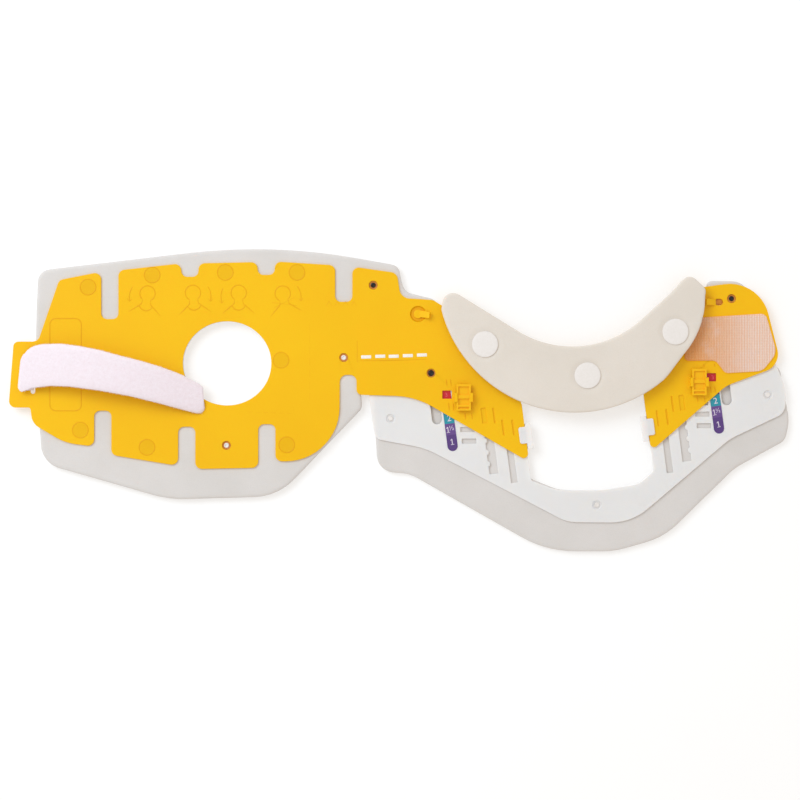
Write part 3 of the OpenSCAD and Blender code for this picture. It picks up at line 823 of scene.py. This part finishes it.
def moulded_marks():
    verts, faces = [], []

    def line(path, half=0.3, rise=0.16, closed=False):
        bead(verts, faces, [(x + SHIFT, y) for x, y in path], SHELL_TOP, half, rise, closed)

    for x, y in EJECTOR_MARKS:
        line(arc(x, y, 6.1, 0, 350, 35), 0.42, 0.24, True)
    line(rounded_box(-260.5, 28, 24.6, 72, 4.7), 0.45, 0.22, True)
    line([(-33, 46.5), (-33, 30)], 0.5, 0.3)
    line([(-32.5, 31), (-10, 31.2), (22, 32)], 0.35, 0.16)
    # Fitting steps: a head and neck, with the band and an arrow on the left or the right
    for k, (x, y, turn) in enumerate(STEPS):
        side = -1 if k in (0, 2) else 1
        strokes = [(arc(0, 5.5, 5, -60, 240, 22), 0.36, 0.24),
                   ([(-2.6, 1.2), (-3, -1.6), (-7, -5), (-10.5, -8)], 0.36, 0.24),
                   ([(2.6, 1.2), (3, -1.6), (7, -5), (10.5, -8)], 0.36, 0.24)]
        if k != 3:
            strokes.append((arc(0, -1.2, 4.6, 200, 340, 10), 0.4, 0.26))
        sweep = (150, 200) if side < 0 else (30, -20)
        strokes.append((arc(0, 3, 11.5, *sweep, 9), 0.34, 0.22))
        strokes.append(([(12.8 * side, 0.5), (11 * side, -1.2), (9.2 * side, 0.8)], 0.34, 0.22))
        if k == 3:
            strokes.append(([(-8, 1), (8, -4)], 0.36, 0.24))
            strokes.append(([(-8, -3), (8, 2)], 0.36, 0.24))
        for path, half, rise in strokes:
            line(placed(path, x, y, turn, STEP_SIZE), half, rise)
    for i in range(4):
        line([(-57 + 6.5 * i, 74), (-55 + 6.5 * i, 77.5), (-53 + 6.5 * i, 74)], 0.3, 0.18)
    for i in range(7):
        line([(-70, 60 - 9 * i), (-70, 54 - 9 * i)], 0.3, 0.18)
    for i in range(6):
        line([(-118 + 6 * i, -9 - i * 0.2), (-114.5 + 6 * i, -9 - i * 0.2)], 0.3, 0.18)
    for x, y, wide, high in RIBS:
        for side in (-1, 1):
            a = (x + side * wide / 2 - 0.3, y + high / 2)
            b = (x + side * wide / 2 + 0.4, y - high / 2)
            line([a, ((a[0] + b[0]) / 2, (a[1] + b[1]) / 2), b], 0.45, 0.45)
    # The beads' deeper orange is painted shade along their sides.
    piece("moulded_marks", verts, faces, EDGE_SHADE, "collar", 60)


def flat_marks():
    verts, faces = [], []
    # Each mark's disc is a little darker than the sheet: painted shade.
    for x, y in EJECTOR_MARKS:
        tile(verts, faces, arc(x + SHIFT, y, 6, 0, 350, 35), SHELL_TOP - 0.02, SHELL_TOP + 0.08)
    piece("ejector_marks", verts, faces, MARK, "collar", 30)
    verts, faces = [], []
    dash = rounded_box(0, 0, 7.8, 2.5, 0.35, 3)
    for x, y in DASHES:
        tile(verts, faces, placed(dash, x + SHIFT, y, DASH_TURN), SHELL_TOP - 0.02, SHELL_TOP + 0.05, 0.03)
    piece("line_dashes", verts, faces, WHITE_INK, "collar", 30)


moulded_marks()
flat_marks()


# ---------------------------------------------------------------- size scales
# The scales lean by this many degrees, and the numerals of the right one by a little more
LEAN = 7.5
NUMERAL_LEAN = {"left": LEAN, "right": LEAN + 4}
INK_HALF = 0.012
INK_ABOVE = 0.022
BAND_HALF_WIDTH = 3.9
# Colour bands from and to these millimetres along a scale, above the round end's centre
BANDS = {"violet": (VIOLET, 8.7, 17.6), "teal": (TEAL, 17.6, 26.7), "red": (RED, 35.8, 46.4)}
# Text, place along and across the scale, and height of each numeral
PALE_NUMERALS = (("1", 3.2, 0.1, 6.4), ("1", 12.9, -1.9, 6.4), ("\u00bd", 13.9, 1.1, 5.2),
                 ("2", 21.6, 0.1, 6.8))
ROSE_NUMERALS = (("3", 40.1, 0.3, 4.6),)


def plain_one(x, y, z, high, turn):
    """A thin figure one: a stem with a flag and a foot."""
    verts, faces = [], []
    for outline in (((0.05, -0.36), (0.05, 0.36), (-0.05, 0.36), (-0.05, -0.36)),
                    ((0.19, -0.36), (0.19, -0.28), (-0.19, -0.28), (-0.19, -0.36)),
                    ((-0.04, 0.36), (-0.19, 0.24), (-0.19, 0.15), (-0.04, 0.26))):
        sized = [(u * high, v * high) for u, v in outline]
        tile(verts, faces, placed(sized, x, y, turn), z - INK_HALF, z + INK_HALF)
    return verts, faces


def numeral(text, x, y, z, high, turn):
    if text == "1":
        return plain_one(x, y, z, high, turn)
    data = bpy.data.curves.new("numeral", "FONT")
    data.body = text
    data.size = high * MM
    data.align_x, data.align_y = "CENTER", "CENTER"
    data.extrude = INK_HALF * MM
    data.resolution_u = 4
    ob = bpy.data.objects.new("numeral", data)
    bpy.context.collection.objects.link(ob)
    dg = bpy.context.evaluated_depsgraph_get()
    me = bpy.data.meshes.new_from_object(ob.evaluated_get(dg))
    bpy.data.objects.remove(ob)
    flat = placed([(v.co.x / MM, v.co.y / MM) for v in me.vertices], x, y, turn)
    verts = [(*at, z + v.co.z / MM) for at, v in zip(flat, me.vertices)]
    faces = [tuple(f.vertices) for f in me.polygons]
    bpy.data.meshes.remove(me)
    return verts, faces


def size_scale(side):
    lo, hi = (np.array(c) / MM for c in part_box("size_label_" + side))
    end = (hi[0] - 4, lo[1] + 4)
    for tag, (mat, a, b) in BANDS.items():
        verts, faces = [], []
        w = BAND_HALF_WIDTH
        outline = placed(((w, b), (-w, b), (-w, a), (w, a)), *end, LEAN)
        tile(verts, faces, outline, LABEL_TOP - 0.01, LABEL_TOP + 0.015)
        piece(f"scale_{tag}_{side}", verts, faces, mat, "chest", 30)
    for tag, ink, numerals in (("pale", PALE_INK, PALE_NUMERALS), ("rose", ROSE_INK, ROSE_NUMERALS)):
        verts, faces = [], []
        for text, d, shift, high in numerals:
            at = placed([(shift, d)], *end, LEAN)[0]
            v, f = numeral(text, *at, LABEL_TOP + INK_ABOVE, high, NUMERAL_LEAN[side])
            base = len(verts)
            verts += v
            faces += [tuple(base + i for i in q) for q in f]
        piece(f"scale_numerals_{tag}_{side}", verts, faces, ink, "chest", 30)


size_scale("left")
size_scale("right")


# ---------------------------------------------------------------- chin discs, rivet rims and seats
def lathe(verts, faces, x, y, z, profile, n, closed):
    """Turns a (radius, height) profile round an upright axis, and caps both ends of an open one."""
    base, k = len(verts), len(profile)
    for i in range(n):
        a = 2 * math.pi * i / n
        verts += [(x + r * math.cos(a), y + r * math.sin(a), z + up) for r, up in profile]
    for i in range(n):
        for j in range(k if closed else k - 1):
            here, there = base + i * k, base + (i + 1) % n * k
            faces.append((here + j, there + j, there + (j + 1) % k, here + (j + 1) % k))
    if not closed:
        faces.append(tuple(base + i * k + k - 1 for i in range(n)))
        faces.append(tuple(base + i * k for i in reversed(range(n))))


def disc_caps():
    """A low dome over each broad rivet head on the chin pad."""
    verts, faces = [], []
    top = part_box("chin_rivets")[1][2] / MM
    profile = ((10.08, -1.1), (10.1, -0.45), (9.98, -0.2), (9.7, -0.03), (9.2, 0.06), (6.5, 0.14),
               (3, 0.19))
    for x, y in CHIN_RIVETS:
        lathe(verts, faces, x, y, top, profile, 72, False)
    piece("chin_disc_caps", verts, faces, WHITE, "chin", 50)


def rims(tag, node, body, mat, sunk):
    """A rolled rim on the end of each rivet of a node, sunk millimetres below the node's top."""
    verts, faces = [], []
    for x, y in rivets_of(node):
        ring(verts, faces, x, y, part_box(node)[1][2] / MM - sunk, 1.35, 0.42)
    piece("rivet_rims_" + tag, verts, faces, mat, body, 180)


def cups(tag, node):
    """The darker seat of each rivet, a shallow cone round its shank. It imitates shading."""
    verts, faces = [], []
    profile = ((1.7, -1.02), (2.5, -0.96), (3.1, -0.8), (3.3, -0.3), (3.37, -0.12), (3.39, -1.1),
               (1.7, -1.1))
    for x, y in rivets_of(node):
        lathe(verts, faces, x, y, SHELL_TOP, profile, 40, True)
    piece("rivet_cups_" + tag, verts, faces, CUP, "collar", 30)


disc_caps()
rims("white", "foam_rivets_white", "collar", WHITE, 0)
# Their near-black rims are painted shade of the deep holes.
rims("black", "foam_rivets_black", "collar", HOLE_SHADE_BLACK, 0)
rims("chest", "chest_rivets", "chest", WHITE, 0.3)
rims("slide", "slide_rivets", "collar", HOLE_SHADE_BLACK, 0)
cups("white", "foam_rivets_white")
cups("black", "foam_rivets_black")
cups("slide", "slide_rivets")


# ---------------------------------------------------------------- moulded holes by the tube hooks
# Middle and radius of the round left lining, and ends and radius of the long right one, in
# millimetres, each 0.05 inside its hole. They repeat the CAD source, which states the holes, so a
# change there has to be made here too.
LEFT_HOLE, LEFT_HOLE_RADIUS = (14.5, 67.5), 6.15
RIGHT_HOLE_ENDS, RIGHT_HOLE_Y, RIGHT_HOLE_RADIUS = (248.2, 249.8), 76.8, 2.45
HOLE_FLOOR = (1.3, 1.15)


def hole_lining(name, outline, inset, mat):
    """A moulded hole's flared wall and its floor. It imitates shading."""
    verts, faces = [], []
    mid = np.mean(outline, axis=0)
    levels = ((0.05, 0.12), (inset * 0.4, 0.6), (inset, 1.2), (inset + 0.25, 1.2), (0.02, 1.3),
              (0.0, 0.3))
    n, k = len(outline), len(levels)
    for x, y in outline:
        out = np.array((x, y)) - mid
        far = np.linalg.norm(out)
        for inner, depth in levels:
            q = mid + out * (far - inner) / far
            verts.append((q[0], q[1], SHELL_TOP - depth))
    for i in range(n):
        for j in range(k):
            here, there = i * k, (i + 1) % n * k
            faces.append((here + j, there + j, there + (j + 1) % k, here + (j + 1) % k))
    bottom = [tuple(mid + (np.array(p) - mid) * 0.96) for p in outline]
    tile(verts, faces, bottom, SHELL_TOP - HOLE_FLOOR[0], SHELL_TOP - HOLE_FLOOR[1])
    piece(name, verts, faces, mat, "collar", 35)


hole_lining("hook_hole_left_lining", arc(*LEFT_HOLE, LEFT_HOLE_RADIUS, 0, 350, 35), 0.9, EDGE_SHADE)
hole_lining("hook_hole_right_lining",
            arc(RIGHT_HOLE_ENDS[1], RIGHT_HOLE_Y, RIGHT_HOLE_RADIUS, -90, 90, 12)
            + arc(RIGHT_HOLE_ENDS[0], RIGHT_HOLE_Y, RIGHT_HOLE_RADIUS, 90, 270, 12), 0.5, CUP)


# ---------------------------------------------------------------- floor, light and camera
def floor():
    """A wide pale slab. It glows a little, to be as white as the photograph's background."""
    half, under, top = 4000, -6, -0.05
    verts, faces = [], []
    tile(verts, faces, [(-half, -half), (half, -half), (half, half), (-half, half)], under, top)
    paint = Paint("floor_white", 0.9)
    paint.colour(paint.ramp(paint.noise(3, 2), [(0.3, (0.56, 0.56, 0.56)), (0.7, (0.58, 0.58, 0.58))]))
    paint.set(Emission_Color=(1.0, 0.995, 0.985, 1), Emission_Strength=0.45)
    piece("floor", verts, faces, paint.m, None)


def area_light(name, at, size, power, colour):
    data = bpy.data.lights.new(name, "AREA")
    data.shape = "SQUARE"
    data.size = size
    data.energy = power
    data.color = colour
    ob = bpy.data.objects.new(name, data)
    bpy.context.collection.objects.link(ob)
    ob.location = at
    ob.rotation_euler = (-Vector(at)).to_track_quat("-Z", "Y").to_euler()


def camera():
    """Straight above, so that the sheet's top face fills the picture's width as FRAME_WIDTH says."""
    ob = bpy.data.objects.new("camera", bpy.data.cameras.new("camera"))
    bpy.context.collection.objects.link(ob)
    ob.data.sensor_width = 36
    ob.data.lens = ob.data.sensor_width * CAMERA_HEIGHT / FRAME_WIDTH
    ob.location = (FRAME_CENTRE * MM, FRAME_CENTRE * MM, (SHELL_TOP + CAMERA_HEIGHT) * MM)
    bpy.context.scene.camera = ob


floor()
area_light("key", (-1.1, 0.9, 1.5), 1.1, 20, (0.77, 0.885, 1.0))
camera()
world = bpy.data.worlds.new("studio")
bpy.context.scene.world = world
world.use_nodes = True
world.node_tree.nodes["Background"].inputs["Color"].default_value = (1.0, 0.95, 0.9, 1)
world.node_tree.nodes["Background"].inputs["Strength"].default_value = 0.79
bpy.context.scene.view_settings.view_transform = "Standard"
